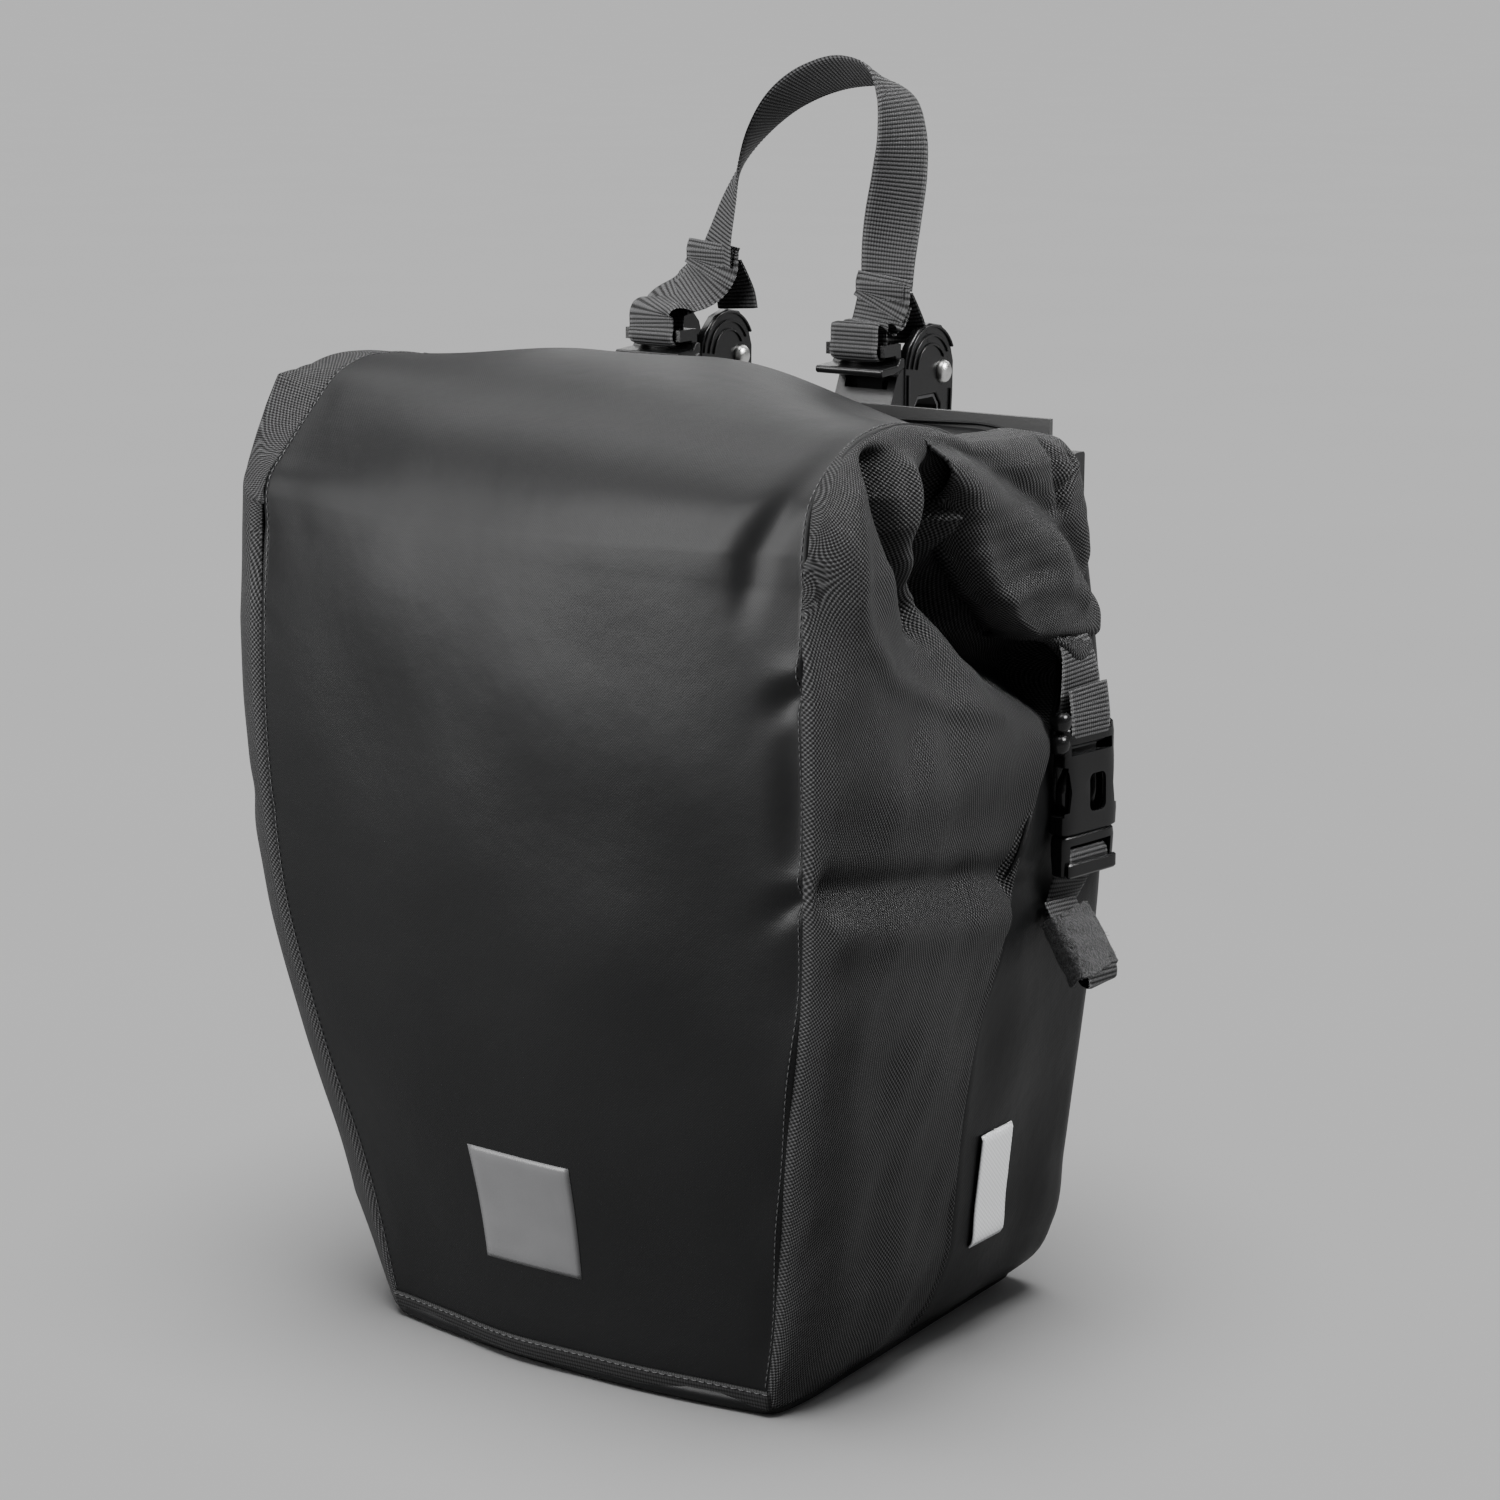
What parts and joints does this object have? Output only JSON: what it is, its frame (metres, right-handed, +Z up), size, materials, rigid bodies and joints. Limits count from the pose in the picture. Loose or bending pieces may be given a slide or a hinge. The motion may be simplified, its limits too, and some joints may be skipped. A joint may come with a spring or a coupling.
{
  "type": "bicycle pannier bag",
  "caption": "Roll-top bicycle pannier bag with tapered body, woven gussets, side-release end buckles, sliding rack hooks with latches and a webbing handle.",
  "frame": {"origin": "centre of the footprint, on the plane the base stands on", "axes": "+Z up, +X towards the bicycle's rear (the end with the visible buckle), -Y outward from the wheel, +Y towards the rack"},
  "size_m": [0.3548, 0.295, 0.5248],
  "materials": {
    "coated_fabric": "matte coated tarpaulin, charcoal",
    "woven_nylon": "coarse ballistic nylon weave, black",
    "webbing": "ribbed polyester webbing, black",
    "hook_and_loop": "napped hook-and-loop tape, black",
    "moulded_plastic": "semi-gloss moulded nylon, black",
    "insert_plastic": "satin, dark grey",
    "board_plastic": "extruded sheet, dark grey",
    "reflective_film": "reflective tape, light grey",
    "badge_film": "blank grey film patch",
    "zinc_steel": "zinc plated"
  },
  "bodies": {
    "bag": {"outward_panel": "coated_fabric", "back_panel": "coated_fabric", "base_panel": "coated_fabric", "rear_gusset": "woven_nylon", "front_gusset": "woven_nylon", "base_binding": "webbing", "badge_patch": "badge_film", "rear_reflector": "reflective_film", "front_reflector": "reflective_film", "back_board": "board_plastic", "base_board": "board_plastic", "upper_nut_strip": "zinc_steel", "lower_nut_strip": "zinc_steel", "upper_rail": "moulded_plastic", "lower_rail": "moulded_plastic", "rear_rail_cap": "moulded_plastic", "front_rail_cap": "moulded_plastic", "upper_rail_screw_1": "zinc_steel", "upper_rail_screw_2": "zinc_steel", "lower_rail_screw_1": "zinc_steel", "lower_rail_screw_2": "zinc_steel", "rear_lower_strap": "webbing", "front_lower_strap": "webbing", "rear_tail_bundle": "webbing", "front_tail_bundle": "webbing", "rear_tail_keeper": "hook_and_loop", "front_tail_keeper": "hook_and_loop", "rear_male_buckle": "moulded_plastic", "front_male_buckle": "moulded_plastic"},
    "roll_top": {"crest_panel": "coated_fabric", "rear_collar_end": "woven_nylon", "front_collar_end": "woven_nylon", "rolled_mouth": "coated_fabric", "mouth_stiffener": "board_plastic", "rear_ear": "woven_nylon", "front_ear": "woven_nylon", "rear_upper_strap": "webbing", "front_upper_strap": "webbing", "rear_female_buckle": "moulded_plastic", "front_female_buckle": "moulded_plastic"},
    "hook_front": {"front_hook": "moulded_plastic", "front_hook_insert": "insert_plastic", "front_latch_pin": "zinc_steel", "front_latch_spring": "zinc_steel"},
    "hook_rear": {"rear_hook": "moulded_plastic", "rear_hook_insert": "insert_plastic", "rear_latch_pin": "zinc_steel", "rear_latch_spring": "zinc_steel"},
    "latch_front": {"front_latch": "moulded_plastic"},
    "latch_rear": {"rear_latch": "moulded_plastic"},
    "handle": {"handle_strap": "webbing", "front_handle_loop": "webbing", "rear_handle_loop": "webbing"},
    "prong_rear_inner": {"rear_inner_prong": "moulded_plastic"},
    "prong_rear_outer": {"rear_outer_prong": "moulded_plastic"},
    "prong_front_inner": {"front_inner_prong": "moulded_plastic"},
    "prong_front_outer": {"front_outer_prong": "moulded_plastic"},
    "carrier": {"lower_carrier": "moulded_plastic", "lower_hook_screw": "zinc_steel"},
    "lower_hook": {"lower_hook": "moulded_plastic"}
  },
  "joints": [
    {"name": "roll_lift", "type": "slide", "parent": "bag", "child": "roll_top", "axis": [0, 0, 1], "range_m": [0, 0.11]},
    {"name": "hooks_slide", "type": "slide", "parent": "bag", "child": "hook_front", "axis": [1, 0, 0], "range_m": [0, 0.088]},
    {"name": "rear_hook_slide", "type": "slide", "parent": "bag", "child": "hook_rear", "axis": [1, 0, 0], "range_m": [0, 0.088]},
    {"name": "handle_pull", "type": "slide", "parent": "hook_front", "child": "handle", "axis": [0, 0.3768, 0.9263], "range_m": [0, 0.0098], "stiffness_N_per_m": 300},
    {"name": "front_latch_swing", "type": "hinge", "parent": "hook_front", "child": "latch_front", "pos_m": [-0.099, 0.1385, 0.388], "axis": [-1, 0, 0], "range_deg": [0, 12]},
    {"name": "rear_latch_swing", "type": "hinge", "parent": "hook_rear", "child": "latch_rear", "pos_m": [0.01, 0.1385, 0.388], "axis": [-1, 0, 0], "range_deg": [0, 12]},
    {"name": "lower_carrier_slide", "type": "slide", "parent": "bag", "child": "carrier", "axis": [1, 0, 0], "range_m": [-0.092, 0.032]},
    {"name": "lower_hook_swivel", "type": "hinge", "parent": "carrier", "child": "lower_hook", "pos_m": [0.03, 0.1005, 0.11], "axis": [0, 1, 0], "range_deg": [-120, 120]},
    {"name": "rear_squeeze", "type": "hinge", "parent": "bag", "child": "prong_rear_inner", "pos_m": [0.154, 0.0498, 0.217], "axis": [1, 0, 0], "range_deg": [0, 8], "stiffness_Nm_per_rad": 0.15},
    {"name": "rear_outer_squeeze", "type": "hinge", "parent": "bag", "child": "prong_rear_outer", "pos_m": [0.154, 0.0312, 0.217], "axis": [1, 0, 0], "range_deg": [-8, 0], "stiffness_Nm_per_rad": 0.15},
    {"name": "front_squeeze", "type": "hinge", "parent": "bag", "child": "prong_front_inner", "pos_m": [-0.154, 0.0498, 0.217], "axis": [1, 0, 0], "range_deg": [0, 8], "stiffness_Nm_per_rad": 0.15},
    {"name": "front_outer_squeeze", "type": "hinge", "parent": "bag", "child": "prong_front_outer", "pos_m": [-0.154, 0.0312, 0.217], "axis": [1, 0, 0], "range_deg": [-8, 0], "stiffness_Nm_per_rad": 0.15}
  ],
  "couplings": [
    {"joint": "rear_hook_slide", "follows": "hooks_slide", "ratio": 1},
    {"joint": "front_latch_swing", "follows": "handle_pull", "rad_per_m": 21.35},
    {"joint": "rear_latch_swing", "follows": "handle_pull", "rad_per_m": 21.35},
    {"joint": "rear_outer_squeeze", "follows": "rear_squeeze", "ratio": -1},
    {"joint": "front_outer_squeeze", "follows": "front_squeeze", "ratio": -1}
  ]
}
